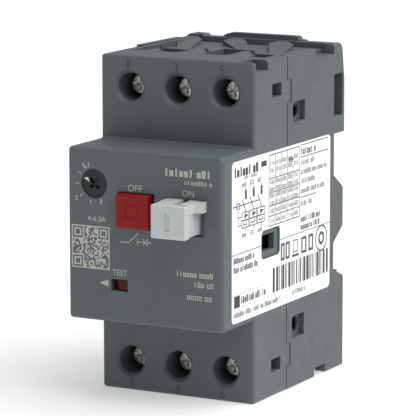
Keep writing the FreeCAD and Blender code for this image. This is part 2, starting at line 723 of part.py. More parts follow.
def build_rating_label():
    """Thin label on the right side, cut out around the side socket."""
    plate = box((HALF_WIDTH - LABEL_DEPTH, HALF_WIDTH - 0.05), LABEL_Y, LABEL_Z)
    plate = rounded(plate, LABEL_ROUND, runs_along_x)
    return plate.cut(rounded(box(*LABEL_WINDOW), SOCKET_ROUND + 0.1, runs_along_x))


# ---- Terminals --------------------------------------------------------------


def build_terminal_screw(middle, sign):
    """Clamp screw with a combined cross and slot recess."""
    head = rod_y(middle, TERMINAL_Z, SCREW_HEAD_R, (SCREW_TOP, SCREW_TOP + SCREW_HEAD_THICK))
    head = rounded(head, SCREW_EDGE, lambda low, high: high[1] < SCREW_TOP + 0.1 and high[0] - low[0] > 1)
    shank = rod_y(middle, TERMINAL_Z, SCREW_SHANK_R, (SCREW_TOP + 1, BAR_FRONT - 0.1))
    screw = fuse([head, shank])
    slot = box((middle - SCREW_SLOT_HALF, middle + SCREW_SLOT_HALF),
               (SCREW_TOP - OVER, SCREW_TOP + SCREW_SLOT_DEPTH),
               (TERMINAL_Z - SCREW_CUT_HALF, TERMINAL_Z + SCREW_CUT_HALF))
    upright = box((middle - SCREW_CUT_HALF, middle + SCREW_CUT_HALF),
                  (SCREW_TOP - OVER, SCREW_TOP + SCREW_CROSS_DEPTH),
                  (TERMINAL_Z - SCREW_CROSS_HALF, TERMINAL_Z + SCREW_CROSS_HALF))
    screw = screw.cut([slot, upright])
    return screw if sign > 0 else flip(screw)


def build_clamp_cage(middle, sign):
    """Square cage that the screw draws forward to trap the wire against the bar."""
    outer = box((middle - CAGE_HALF_WIDTH, middle + CAGE_HALF_WIDTH), (CAGE_FRONT, CAGE_REAR),
                (CAGE_LOW, CAGE_HIGH))
    outer = rounded(outer, CAGE_ROUND, lambda low, high: high[2] - low[2] > 5)
    inner_half = CAGE_HALF_WIDTH - CAGE_CHEEK
    inner = box((middle - inner_half, middle + inner_half),
                (CAGE_FRONT + CAGE_WALL, CAGE_REAR - CAGE_WALL), (CAGE_LOW - OVER, CAGE_HIGH + OVER))
    thread = rod_y(middle, TERMINAL_Z, SCREW_SHANK_R + THREAD_PLAY,
                   (CAGE_FRONT - OVER, CAGE_FRONT + CAGE_WALL + OVER))
    cage = outer.cut([inner, thread])
    return cage if sign > 0 else flip(cage)


def build_terminal_bar(middle, sign):
    """Bent copper bar from the clamp to the fixed contact, with its contact tip."""
    wide = (middle - BAR_HALF_WIDTH, middle + BAR_HALF_WIDTH)
    upright = box(wide, (BAR_FRONT, BAR_FRONT + BAR_THICK), (BAR_RUN_Z[0], BAR_END_Z))
    run = box(wide, (BAR_FRONT, BAR_LEG[1]), BAR_RUN_Z)
    leg = box((middle - BAR_LEG_HALF_WIDTH, middle + BAR_LEG_HALF_WIDTH), BAR_LEG,
              (BAR_LEG_END, BAR_RUN_Z[1]))
    tip = rod_y(middle, CONTACT_Z, FIXED_TIP_R, (FIXED_TIP_FRONT, FIXED_TIP_REAR))
    bar = fuse([upright, run, leg, tip])
    return bar if sign > 0 else flip(bar)


# ---- Operating parts --------------------------------------------------------


def build_on_button():
    """Raised ON button with its top groove, padlock lug and engraved bar."""
    plate = box((ON_LEFT, ON_RIGHT), (ON_FRONT, ON_FRONT + ON_PLATE), (ON_LOW, ON_HIGH))
    plate = rounded(plate, BUTTON_ROUND, lambda low, high: low[1] < ON_FRONT + 0.1)
    start = ON_FRONT + ON_PLATE - 0.6
    side = [(start, ON_LOW + 0.5), (start, ON_HIGH - 0.1), (NOSE_FRONT, ON_RAIL_HIGH),
            (ON_BACK, ON_RAIL_HIGH), (ON_BACK, ON_LOW + 0.5)]
    body = prism_x(side, (ON_LEFT + ON_INSET, ON_RIGHT - ON_INSET))
    flange = box((ON_LEFT - FLANGE_EDGE, ON_RIGHT + FLANGE_EDGE), ON_FLANGE_Y,
                 (ON_LOW - FLANGE_EDGE, ON_HIGH - 2.5))
    inner = ON_RIGHT - 2.2
    lug = prism_z([(inner, ON_FRONT + 1), (ON_RIGHT, ON_FRONT + 1), (ON_RIGHT, LUG_TAPER[0]),
                   (LUG_RIGHT, LUG_TAPER[1]), (LUG_RIGHT, LUG_REAR), (inner, LUG_REAR)],
                  (LUG_LOW, ON_RAIL_HIGH - 0.05))
    groove = box(ON_GROOVE_X, (ON_FRONT + ON_PLATE, ON_BACK - 6),
                 (ON_HIGH - ON_GROOVE_DEPTH, ON_RAIL_HIGH + OVER))
    letter = box(ON_MARK_X, (ON_FRONT - OVER, ON_FRONT + ON_MARK_DEPTH), ON_MARK_Z)
    spring_seat = box((ON_SPRING_X - 1.3, ON_RIGHT - 0.9), (ON_BACK - 0.4, ON_BACK + OVER),
                      (ON_SPRING_Z - 2.9, ON_SPRING_Z + 2.2))
    relief = box((ON_LEFT, PUSH_LEFT), (ON_BACK - 2.5, ON_BACK + OVER), (ON_LOW, ON_RAIL_HIGH + OVER))
    return fuse([plate, body, flange, lug]).cut([groove, letter, spring_seat, relief])


def build_off_button():
    """Flush red OFF button with its engraved ring."""
    plate = box((OFF_LEFT, OFF_RIGHT), (OFF_FRONT, OFF_FRONT + OFF_PLATE), (OFF_LOW, OFF_HIGH))
    plate = rounded(plate, BUTTON_ROUND, lambda low, high: low[1] < OFF_FRONT + 0.1)
    body = box((OFF_LEFT + ON_INSET, OFF_RIGHT - ON_INSET), (OFF_FRONT + OFF_PLATE - 1.2, OFF_BACK),
               (OFF_LOW + ON_INSET, OFF_HIGH - ON_INSET))
    flange = box((OFF_LEFT - FLANGE_EDGE, OFF_RIGHT + FLANGE_EDGE), OFF_FLANGE_Y,
                 (OFF_LOW - FLANGE_EDGE, OFF_HIGH + FLANGE_EDGE))
    middle = (OFF_LEFT + OFF_RIGHT) / 2
    centre_z = (OFF_LOW + OFF_HIGH) / 2
    ring = rod_y(middle, centre_z, OFF_RING_R[1], (OFF_FRONT - OVER, OFF_FRONT + OFF_RING_DEPTH))
    ring = ring.cut(rod_y(middle, centre_z, OFF_RING_R[0], (OFF_FRONT - 2 * OVER, OFF_FRONT + OVER)))
    relief = box((PUSH_RIGHT, OFF_RIGHT), (OFF_BACK - OFF_RELIEF, OFF_BACK + OVER), (OFF_LOW, OFF_HIGH))
    return fuse([plate, body, flange]).cut([ring, relief])


def build_rocker():
    """Rocker that moves one button out while the other goes in."""
    hub = rod_z(ROCKER_X, ROCKER_Y, ROCKER_HUB_R, ROCKER_HUB_Z)
    arm = box((ROCKER_X - ROCKER_OFF_ARM, ROCKER_X + ROCKER_ON_ARM),
              (ROCKER_Y - ROCKER_ARM_HALF, ROCKER_Y + ROCKER_ARM_HALF), ROCKER_ARM_Z)
    on_end = rod_z(ROCKER_X + ROCKER_ON_ARM, ROCKER_Y, ROCKER_END_R, ROCKER_ARM_Z)
    off_end = rod_z(ROCKER_X - ROCKER_OFF_ARM, ROCKER_Y, ROCKER_END_R, ROCKER_ARM_Z)
    bore = rod_z(ROCKER_X, ROCKER_Y, ROCKER_PIN_R + ROCKER_PLAY,
                 (ROCKER_HUB_Z[0] - OVER, ROCKER_HUB_Z[1] + OVER))
    rocker = fuse([hub, arm, on_end, off_end]).cut(bore)
    rocker.rotate(FreeCAD.Vector(ROCKER_X, ROCKER_Y, 0), FreeCAD.Vector(0, 0, 1), ROCKER_TILT)
    return rocker


def build_mechanism_frame():
    """Steel plate across the cover, with two ears and the rocker's pin."""
    past = (FRAME_Y[0] - OVER, FRAME_Y[1] + OVER)
    plate = box((-FRAME_HALF_WIDTH, FRAME_HALF_WIDTH), FRAME_Y, FRAME_Z)
    tabs = box((-CAVITY_HALF_WIDTH, CAVITY_HALF_WIDTH), FRAME_Y, FRAME_TAB_Z)
    cuts = [box(x, past, z) for x, z in (FRAME_SLOT, FRAME_WINDOW)]
    ears = [box(EAR_X, (EAR_FRONT, FRAME_Y[1] - 0.4), z) for z in EAR_Z]
    pin = rod_z(ROCKER_X, ROCKER_Y, ROCKER_PIN_R, (EAR_Z[0][0], EAR_Z[1][1]))
    return fuse([plate, tabs] + ears + [pin]).cut(cuts)


def build_current_dial():
    """Setting dial with its cross recess, shaft and eccentric cam."""
    knob = rod_y(DIAL_X, DIAL_Z, DIAL_R, (DIAL_FACE, DIAL_KNOB_REAR))
    collar = rod_y(DIAL_X, DIAL_Z, DIAL_COLLAR_R, DIAL_COLLAR_Y)
    shaft = rod_y(DIAL_X, DIAL_Z, DIAL_SHAFT_R, DIAL_SHAFT_Y)
    cam = rod_y(DIAL_X + CAM_OFFSET[0], DIAL_Z + CAM_OFFSET[1], CAM_R, CAM_Y)
    dial = fuse([knob, collar, shaft, cam])
    arms = []
    for angle in (45, 135):
        arm = box((DIAL_X - DIAL_CROSS_HALF, DIAL_X + DIAL_CROSS_HALF),
                  (DIAL_FACE - OVER, DIAL_FACE + DIAL_CROSS_DEPTH),
                  (DIAL_Z - DIAL_CROSS_WIDTH / 2, DIAL_Z + DIAL_CROSS_WIDTH / 2))
        arm.rotate(FreeCAD.Vector(DIAL_X, 0, DIAL_Z), FreeCAD.Vector(0, 1, 0), angle)
        arms.append(arm)
    return dial.cut(arms)


def build_test_slider():
    """Red slider behind the test window, with its grip, groove and stem."""
    left, right, edge = SLIDER_EDGE
    plate = box((TEST_LEFT - left, TEST_RIGHT + right), (SLIDER_FRONT, SLIDER_FRONT + SLIDER_THICK),
                (TEST_LOW - edge, TEST_HIGH + edge))
    grip = box(GRIP_X, (GRIP_FRONT, SLIDER_FRONT + 0.4), (TEST_LOW + GRIP_INSET, TEST_HIGH - GRIP_INSET))
    groove = box(SLIDER_GROOVE_X, (SLIDER_FRONT - OVER, SLIDER_FRONT + 0.8),
                 (TEST_LOW - OVER, TEST_HIGH + OVER))
    return fuse([plate.cut(groove), grip, box(*SLIDER_STEM)])


def build_trip_bar():
    """Bar along all poles, with one finger beside each bimetal strip."""
    low, high = TRIP_FINGER_X
    fingers = [box((middle + low, middle + high), TRIP_FINGER_Y, TRIP_BAR[2]) for middle in POLES]
    return fuse([box(*TRIP_BAR)] + fingers)


# ---- Inner parts of each pole -----------------------------------------------


def build_contact_carrier():
    """Insulating carrier that moves the three contact bridges together."""
    half, high = CARRIER_WINDOW_HALF
    windows = [box((middle - half, middle + half), (HOLDER_FRONT, CARRIER_BEAM[1][1] + OVER), (-high, high))
               for middle in POLES]
    return fuse([box(*CARRIER_BEAM), box(*CARRIER_STEM)]).cut(windows)


def build_moving_contact(middle):
    """Contact bridge with a silver tip near each end."""
    bridge = box((middle - BRIDGE_HALF_WIDTH, middle + BRIDGE_HALF_WIDTH),
                 (BRIDGE_FRONT, BRIDGE_FRONT + BRIDGE_THICK), (-BRIDGE_HALF_HEIGHT, BRIDGE_HALF_HEIGHT))
    holder = box((middle - HOLDER_HALF_WIDTH, middle + HOLDER_HALF_WIDTH),
                 (HOLDER_FRONT, BRIDGE_FRONT + 0.3), (-HOLDER_HALF_HEIGHT, HOLDER_HALF_HEIGHT))
    run = (BRIDGE_FRONT + 0.3, FIXED_TIP_FRONT - CONTACT_GAP)
    tips = [rod_y(middle, z, MOVING_TIP_R, run) for z in (-CONTACT_Z, CONTACT_Z)]
    return fuse([bridge, holder] + tips)


def build_arc_chute(middle):
    """Stack of quench plates between two insulating cheeks."""
    wide = (middle - CHUTE_HALF_WIDTH, middle + CHUTE_HALF_WIDTH)
    lowest = -CHUTE_PITCH * (CHUTE_PLATES - 1) / 2
    pieces = []
    for step in range(CHUTE_PLATES):
        z = lowest + step * CHUTE_PITCH
        pieces.append(box(wide, CHUTE_Y, (z - CHUTE_PLATE_HALF, z + CHUTE_PLATE_HALF)))
    for side in (-1, 1):
        pieces.append(box([middle + side * x for x in CHEEK_X], (CHUTE_Y[0], CHEEK_REAR),
                          (-CHEEK_HALF_HEIGHT, CHEEK_HALF_HEIGHT)))
    return fuse(pieces)


def build_bobbin(middle):
    """Spool of the trip coil."""
    front, rear = BOBBIN_Y
    tube = rod_y(middle, COIL_Z, BOBBIN_TUBE_R[1], BOBBIN_Y)
    ends = [rod_y(middle, COIL_Z, BOBBIN_FLANGE_R, y)
            for y in ((front, front + BOBBIN_FLANGE), (rear - BOBBIN_FLANGE, rear))]
    return fuse([tube] + ends).cut(rod_y(middle, COIL_Z, BOBBIN_TUBE_R[0], (front - OVER, rear + OVER)))


def build_yoke(middle):
    """U-shaped steel yoke over the coil."""
    front, rear = YOKE_Y
    low, high = YOKE_Z
    leg, roof = YOKE_THICK
    outline = [(front, low), (front + leg, low), (front + leg, high - roof), (rear - leg, high - roof),
               (rear - leg, low), (rear, low), (rear, high), (front, high)]
    yoke = prism_x(outline, (middle - YOKE_HALF_WIDTH, middle + YOKE_HALF_WIDTH))
    return yoke.cut(rod_y(middle, COIL_Z, YOKE_HOLE_R, (front - OVER, rear + OVER)))


def build_coil(middle):
    """Copper winding of the magnetic trip."""
    start = (middle, COIL_MIDDLE_Y - COIL_PITCH * COIL_TURNS / 2, COIL_Z)
    return coil(COIL_R, COIL_WIRE_R, COIL_PITCH, COIL_TURNS, start, (0, 1, 0))


def build_plunger(middle):
    """Plunger of the magnetic trip with its striker pin."""
    body = rod_y(middle, COIL_Z, PLUNGER_R, PLUNGER_Y)
    pin = rod_y(middle, COIL_Z, STRIKER_R, STRIKER_Y)
    foot = box((middle - STRIKER_FOOT_HALF, middle + STRIKER_FOOT_HALF), STRIKER_FOOT_Y,
               (STRIKER_FOOT_LOW, COIL_Z + 1))
    return fuse([body, pin, foot])


def build_bimetal(middle):
    """Bimetal strip standing on the lower terminal bar."""
    wide = (middle - BIMETAL_HALF_WIDTH, middle + BIMETAL_HALF_WIDTH)
    strip = box(wide, BIMETAL_Y, BIMETAL_Z)
    foot = box(wide, (BIMETAL_Y[0], BIMETAL_FOOT_REAR), (BIMETAL_Z[0], BIMETAL_FOOT_TOP))
    return fuse([strip, foot])


# ---- Rail clip and springs --------------------------------------------------


def build_din_clip():
    """Sliding clip whose nose catches the rail's lower lip."""
    wide = (-CLIP_HALF_WIDTH, CLIP_HALF_WIDTH)
    plate = box(wide, (CLIP_FRONT, CLIP_REAR), CLIP_Z)
    return fuse([plate, prism_x(CLIP_NOSE, wide)]).cut([box(*CLIP_WINDOW), box(*CLIP_TOOL_SLOT)])


def build_clip_spring():
    """Coil spring that holds the clip up."""
    return coil(*CLIP_SPRING, (0, (CLIP_FRONT + CLIP_REAR) / 2, -34.0), (0, 0, 1))


def build_on_spring():
    """Return spring behind the ON button."""
    return coil(*ON_SPRING, (ON_SPRING_X, ON_BACK + 0.2, ON_SPRING_Z), (0, 1, 0))


def build_opening_springs():
    """Two springs that push the contact carrier away from the fixed contacts."""
    springs = [coil(*OPENING_SPRING, (x, OPENING_SPRING_FRONT, 0), (0, 1, 0))
               for x in (-OPENING_SPRING_X, OPENING_SPRING_X)]
    return Part.makeCompound(springs)


def save(name, shape):
    """Write one named part."""
    shape.exportStep("parts/" + name + ".step")


def main():
    """Build every part and write it."""
    os.makedirs("parts", exist_ok=True)
    save("front_cover", build_front_cover())
    save("rear_base", build_rear_base())
    save("rating_label", build_rating_label())
    save("on_button", build_on_button())
    save("off_button", build_off_button())
    save("rocker", build_rocker())
    save("mechanism_frame", build_mechanism_frame())
    save("current_dial", build_current_dial())
    save("test_slider", build_test_slider())
    save("trip_bar", build_trip_bar())
    save("contact_carrier", build_contact_carrier())
    save("din_clip", build_din_clip())
    save("clip_spring", build_clip_spring())
    save("on_spring", build_on_spring())
    save("opening_springs", build_opening_springs())
    for number, middle in enumerate(POLES):
        pole = str(number + 1)
        save("moving_contact_" + pole, build_moving_contact(middle))
        save("arc_chute_" + pole, build_arc_chute(middle))
        save("coil_bobbin_" + pole, build_bobbin(middle))
        save("magnet_coil_" + pole, build_coil(middle))
        save("magnet_yoke_" + pole, build_yoke(middle))
        save("plunger_" + pole, build_plunger(middle))
        save("bimetal_" + pole, build_bimetal(middle))
        for sign, terminal in ((1, 2 * number + 1), (-1, 2 * number + 2)):
            save("terminal_screw_" + str(terminal), build_terminal_screw(middle, sign))
            save("clamp_cage_" + str(terminal), build_clamp_cage(middle, sign))
            save("terminal_bar_" + str(terminal), build_terminal_bar(middle, sign))


main()
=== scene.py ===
import json
import math
import random

import bmesh
import bpy
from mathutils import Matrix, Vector


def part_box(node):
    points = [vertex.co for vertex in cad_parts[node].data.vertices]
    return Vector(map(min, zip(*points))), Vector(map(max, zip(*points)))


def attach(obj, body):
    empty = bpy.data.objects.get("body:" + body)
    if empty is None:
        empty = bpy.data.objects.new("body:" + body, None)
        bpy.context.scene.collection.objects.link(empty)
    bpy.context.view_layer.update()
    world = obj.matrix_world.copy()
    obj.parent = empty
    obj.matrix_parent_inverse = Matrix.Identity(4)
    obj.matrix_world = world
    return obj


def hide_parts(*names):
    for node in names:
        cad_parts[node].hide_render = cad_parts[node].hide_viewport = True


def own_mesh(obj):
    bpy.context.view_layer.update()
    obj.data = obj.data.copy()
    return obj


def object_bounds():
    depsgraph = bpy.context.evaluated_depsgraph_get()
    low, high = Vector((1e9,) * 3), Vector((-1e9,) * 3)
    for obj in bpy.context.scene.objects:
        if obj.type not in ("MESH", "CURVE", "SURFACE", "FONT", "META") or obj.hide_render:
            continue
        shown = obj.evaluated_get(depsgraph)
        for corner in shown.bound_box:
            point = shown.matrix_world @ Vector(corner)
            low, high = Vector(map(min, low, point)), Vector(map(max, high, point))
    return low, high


# Looks of a three-pole motor protection breaker: materials, printing, numbers, light and camera.
# Lengths named in this script are millimetres, and MM turns them into Blender's metres.

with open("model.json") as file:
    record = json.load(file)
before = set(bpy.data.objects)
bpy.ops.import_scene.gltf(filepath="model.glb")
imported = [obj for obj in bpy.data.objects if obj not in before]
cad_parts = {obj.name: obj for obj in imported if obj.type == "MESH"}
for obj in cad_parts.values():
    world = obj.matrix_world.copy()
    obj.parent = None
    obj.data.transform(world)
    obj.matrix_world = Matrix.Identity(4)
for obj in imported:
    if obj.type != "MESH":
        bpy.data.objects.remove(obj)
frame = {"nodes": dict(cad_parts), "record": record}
cad_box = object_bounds()
MM = 0.001

# Printing: how far the ink stands off its face and how thick it is, the straight steps round a
# printed ring, and the seed of every random mark
INK_LIFT = 0.005
INK_THICK = 0.03
RING_STEPS = 40
SEED = 11

# Unreadable text. Letters are open boxes (O) or posts (B), placed by shares of their pitch, and
# some start lower by a share of their height.
LETTER_SHAPES = "OOOOB"
LETTER_WIDTH = 0.78
LETTER_DROPS = (0.0, 0.24, 0.24)
POST_INDENT = 0.2
WORD_LETTERS = (3, 7)
WORD_GAP = 0.6

# Readable letters and digits: steps along a curve, and the depth that is pressed down to the ink
FONT_STEPS = 6
FONT_DEPTH = 0.5

# Width of the soft edges given to the moulded and machined parts
EDGE_SOFTNESS = {
    "front_cover": 0.16, "rear_base": 0.16, "on_button": 0.14, "off_button": 0.14,
    "current_dial": 0.08, "test_slider": 0.08, "din_clip": 0.12, "rating_label": 0.02,
}
SCREW_SOFTNESS = 0.07
CAGE_SOFTNESS = 0.10
SOFT_SEGMENTS = 2
SHARP_ANGLE = 40
WELD_DISTANCE = 0.0005

# Worn edges: how alike the rounded and the true normal are on a full edge and on a flat face
WEAR_SAMPLES = 4
WEAR_SPAN = (0.75, 0.99)

# Springs that shorten with a joint: node, joint, axis, fixed end and the share of length left
SPRINGS = (
    ("on_spring", "on_press", (0, 1, 0), (0, -43.6, 0), 0.28),
    ("opening_springs", "on_press", (0, 1, 0), (0, -2.0, 0), 0.81),
    ("clip_spring", "clip_pull", (0, 0, 1), (0, 0, -34.2), 0.64),
)

# Print on the nose: (left, right) and (low, high) in the plane of the front. Rows of unreadable
# text also have a letter pitch and a stroke, as shares of the row's height.
TICK_RADIUS = 4.25
TICK_LENGTH = 0.95
TICK_WIDTH = 0.22
DIAL_CENTRE = (-14.9, 13.2)
DIAL_TICKS = (120, 147, 182, 221, 260, 301)
NOSE_WORDS = (
    ("dial_value_high", "6.3", (-18.1, -16.1), (17.35, 18.65)),
    ("dial_value_middle", "5", (-20.3, -19.5), (8.6, 9.8)),
    ("dial_value_low", "4", (-13.2, -12.4), (7.9, 9.1)),
    ("dial_range", "4-6.3A", (-16.6, -11.3), (3.45, 4.9)),
    ("off_word", "OFF", (-4.7, -0.6), (12.1, 13.8)),
    ("on_word", "ON", (11.0, 14.3), (12.0, 13.6)),
    ("test_word", "TEST", (-9.3, -5.1), (-10.1, -8.55)),
)
SYMBOL_WIDTH = 0.24
SWITCH_SYMBOL = (
    ((-7.0, -1.2), (-4.4, -1.2)), ((-4.6, -1.2), (-1.8, 1.35)), ((-2.0, -1.65), (-2.0, 0.0)),
    ((-2.0, -0.8), (2.0, -0.8)), ((-0.5, -1.6), (1.1, 0.0)), ((-0.5, 0.0), (1.1, -1.6)),
)
TEST_ARROW = ((-13.2, -12.35), (-10.6, -13.2), (-10.6, -11.5))
DIAL_ARROW = ((-18.1, 14.5), (-16.45, 13.55), (-16.8, 14.7))
NOSE_MARKS = (
    ((5.9, 20.2), (16.9, 18.9), 0.7, 0.26), ((11.6, 20.0), (15.0, 16.1), 0.85, 0.17),
    ((9.2, 20.5), (-8.6, -7.2), 0.72, 0.18), ((14.3, 20.5), (-11.1, -9.7), 0.74, 0.15),
    ((12.3, 20.5), (-14.4, -13.0), 0.8, 0.15),
)
MATRIX_BOX = ((-21.4, -10.2), (-8.95, 2.25))
MATRIX_BORDER = 0.33
MATRIX_MODULES = 25
TARGET_MODULES = 8
TARGET_MIDDLE = 3
TARGET_RINGS = (2, 4)

# Numbers above and below the screw holes, drawn as flat marks in a painted shade of the grey that
# stands in for the shading of their moulded relief: digit, half its width, middle and low edge
TERMINAL_FACE = -47.2
TERMINAL_NUMBER_HEIGHT = 2.4
TERMINAL_NUMBERS = (
    ("1", 0.45, -14.35, 40.95), ("3", 0.85, -0.4, 40.95), ("5", 0.85, 13.1, 40.95),
    ("2", 0.85, -13.6, -43.6), ("4", 0.85, 0.1, -43.6), ("6", 0.85, 13.4, -43.6),
)

# Print on the rating label: (front, rear) and (low, high) in the plane of the side. Rows of
# unreadable text end with a letter pitch and a stroke, as on the nose.
BOLD_TEXT = (((-58.3, -44.0), (16.5, 18.9), 0.66, 0.26),)
DARK_TEXT = (
    ((-20.1, -10.9), (17.3, 19.1), 0.66, 0.2), ((-20.0, -7.0), (-0.7, 0.8), 0.66, 0.2),
    ((-20.0, -7.0), (-2.8, -1.3), 0.66, 0.2), ((-58.5, -46.7), (-5.6, -4.2), 0.68, 0.2),
    ((-58.5, -45.0), (-8.0, -6.5), 0.68, 0.2), ((-54.6, -40.2), (-16.4, -14.6), 0.6, 0.2),
)
PALE_TEXT = (
    ((-20.1, -10.5), (14.6, 15.9), 0.68, 0.18), ((-20.1, -3.9), (12.1, 13.4), 0.68, 0.18),
    ((-20.1, -11.0), (9.6, 10.9), 0.68, 0.18), ((-20.1, -5.0), (7.0, 8.3), 0.68, 0.18),
    ((-20.1, -12.5), (3.6, 4.9), 0.68, 0.18), ((-54.0, -51.2), (13.6, 14.8), 0.7, 0.18),
    ((-49.6, -46.6), (13.6, 14.8), 0.7, 0.18), ((-45.3, -42.3), (13.6, 14.8), 0.7, 0.18),
    ((-54.0, -51.0), (0.6, 1.8), 0.7, 0.18), ((-49.6, -46.6), (0.6, 1.8), 0.7, 0.18),
    ((-45.2, -42.2), (0.6, 1.8), 0.7, 0.18), ((-52.8, -44.4), (15.5, 16.4), 0.9, 0.18),
    ((-58.3, -31.5), (-19.6, -18.3), 0.62, 0.18), ((-25.0, -17.0), (-19.3, -18.0), 0.7, 0.18),
)

# Table on the rating label. A row at least CELL_TWO_LINES high holds two lines of text.
TABLE_COLUMNS = (-38.8, -35.2, -31.8, -28.2, -24.8, -20.9)
TABLE_ROWS = (19.7, 13.5, 9.8, 6.3, 3.7, 1.1)
TABLE_SPLIT_COLUMN = 4
TABLE_SPLIT = 15.3
TABLE_ROW_HALF = 0.11
TABLE_COLUMN_HALF = 0.09
TABLE_SYMBOL_BAR = ((-27.6, -24.4), (16.7, 16.9))
TABLE_SYMBOL_FRAME = ((-27.0, -25.0), (16.2, 17.4), 0.25)
CELL_TWO_LINES = 3
CELL_LINE_SHIFT = 0.95
CELL_HALF_HEIGHT = 0.6
CELL_START = 0.5
CELL_END = 0.2
CELL_PITCH = 0.74
CELL_STROKE = 0.16

# Wiring diagram: what is drawn once, and what is drawn again for each pole
DIAGRAM_LINES = (
    ((-58.8, 9.0), (-44.5, 9.0), 0.26), ((-56.2, 7.9), (-56.2, 3.9), 0.22),
    ((-56.2, 6.0), (-54.2, 6.0), 0.22), ((-56.2, 3.9), (-54.2, 3.9), 0.22),
    ((-58.8, 8.6), (-58.8, 9.4), 0.22),
)
DIAGRAM_BOX = ((-57.2, -55.2), (8.2, 9.8), 0.25)
POLES = 3
POLE_PITCH = 4.4
POLE_TERMINAL = ((-52.4, -51.3), (10.3, 12.6))
POLE_LINES = (
    ((-51.85, 12.6), (-51.85, 13.4), 0.2), ((-53.8, 10.4), (-51.9, 7.1), 0.3),
    ((-51.9, 2.9), (-51.9, 2.1), 0.2),
)
POLE_BOXES = (((-54.2, -50.1), (2.9, 5.0), 0.24), ((-54.2, -50.1), (4.8, 7.1), 0.24))
POLE_ARROW = ((-52.5, 5.2), (-50.5, 6.1), (-52.5, 6.6))
POLE_HEATER = (
    ((-53.2, -51.2), (3.6, 3.85)), ((-53.2, -52.9), (3.6, 4.4)), ((-51.5, -51.2), (3.6, 4.4)),
)

# Blocks, bars, rules and outline marks on the rating label
LABEL_BLOCKS = (
    ((-43.2, -40.2), (17.3, 18.7)), ((-58.3, -55.1), (-17.1, -14.0)),
    ((-25.1, -21.2), (-9.3, -8.7)),
)
BAR_FIELD = (-36.4, -3.4)
BAR_HEIGHTS = (-16.8, -10.3)
BAR_WIDTHS = (0.25, 0.4, 0.6, 1.1)
BAR_GAPS = (0.3, 0.45, 0.6, 0.9)
BAR_SPARE = 0.3
LABEL_RULES = (
    ((-20.2, -3.8), 19.9, 0.24), ((-20.2, -3.8), 16.7, 0.24), ((-20.2, -10.7), 5.9, 0.24),
    ((-59.4, -43.0), -3.3, 0.18), ((-32.2, -2.3), -3.4, 0.18),
    ((-55.0, -40.0), -13.7, 0.06), ((-55.0, -40.0), -17.2, 0.06),
)
OUTLINE_SQUARES = (
    ((-31.8, -29.6), (-9.2, -4.6), 0.7), ((-29.0, -26.6), (-9.2, -4.6), 0.7),
    ((-24.6, -21.8), (-8.2, -4.8), 0.3), ((-19.6, -16.6), (-9.2, -4.8), 0.7),
    ((-15.3, -12.5), (-9.2, -4.8), 0.7),
)
OUTLINE_RINGS = (((-7.5, -6.9), 3.6, 0.4), ((-7.5, -6.9), 1.8, 0.8))

# Camera and light
CAMERA_EYE = (356.57, -703.54, 134.77)
CAMERA_FORWARD = (-0.4610, 0.8708, -0.1706)
CAMERA_LENS = 252.95
CAMERA_SENSOR = 36.0
CAMERA_CLIP = (0.05, 20.0)
KEY_DIRECTION = (0.50, 0.06, 0.86)
KEY_STRENGTH = 3.5
KEY_ANGLE = 70.0
FRONT_DIRECTION = (-0.25, -0.80, 0.55)
FRONT_STRENGTH = 0.05
FRONT_ANGLE = 60.0
WORLD_STRENGTH = 0.32
BACKDROP_STRENGTH = 1.0
WHITE = (1, 1, 1, 1)
FLOOR_COLOUR = (0.56, 0.56, 0.56)
FLOOR_GLOW = 0.42
FLOOR_HALF_SIZE = 5000.0
FLOOR_CELLS = (4, 48)


def new_object(name, data):
    """A new object in the scene."""
    made = bpy.data.objects.new(name, data)
    bpy.context.scene.collection.objects.link(made)
    return made


# ---- Materials --------------------------------------------------------------


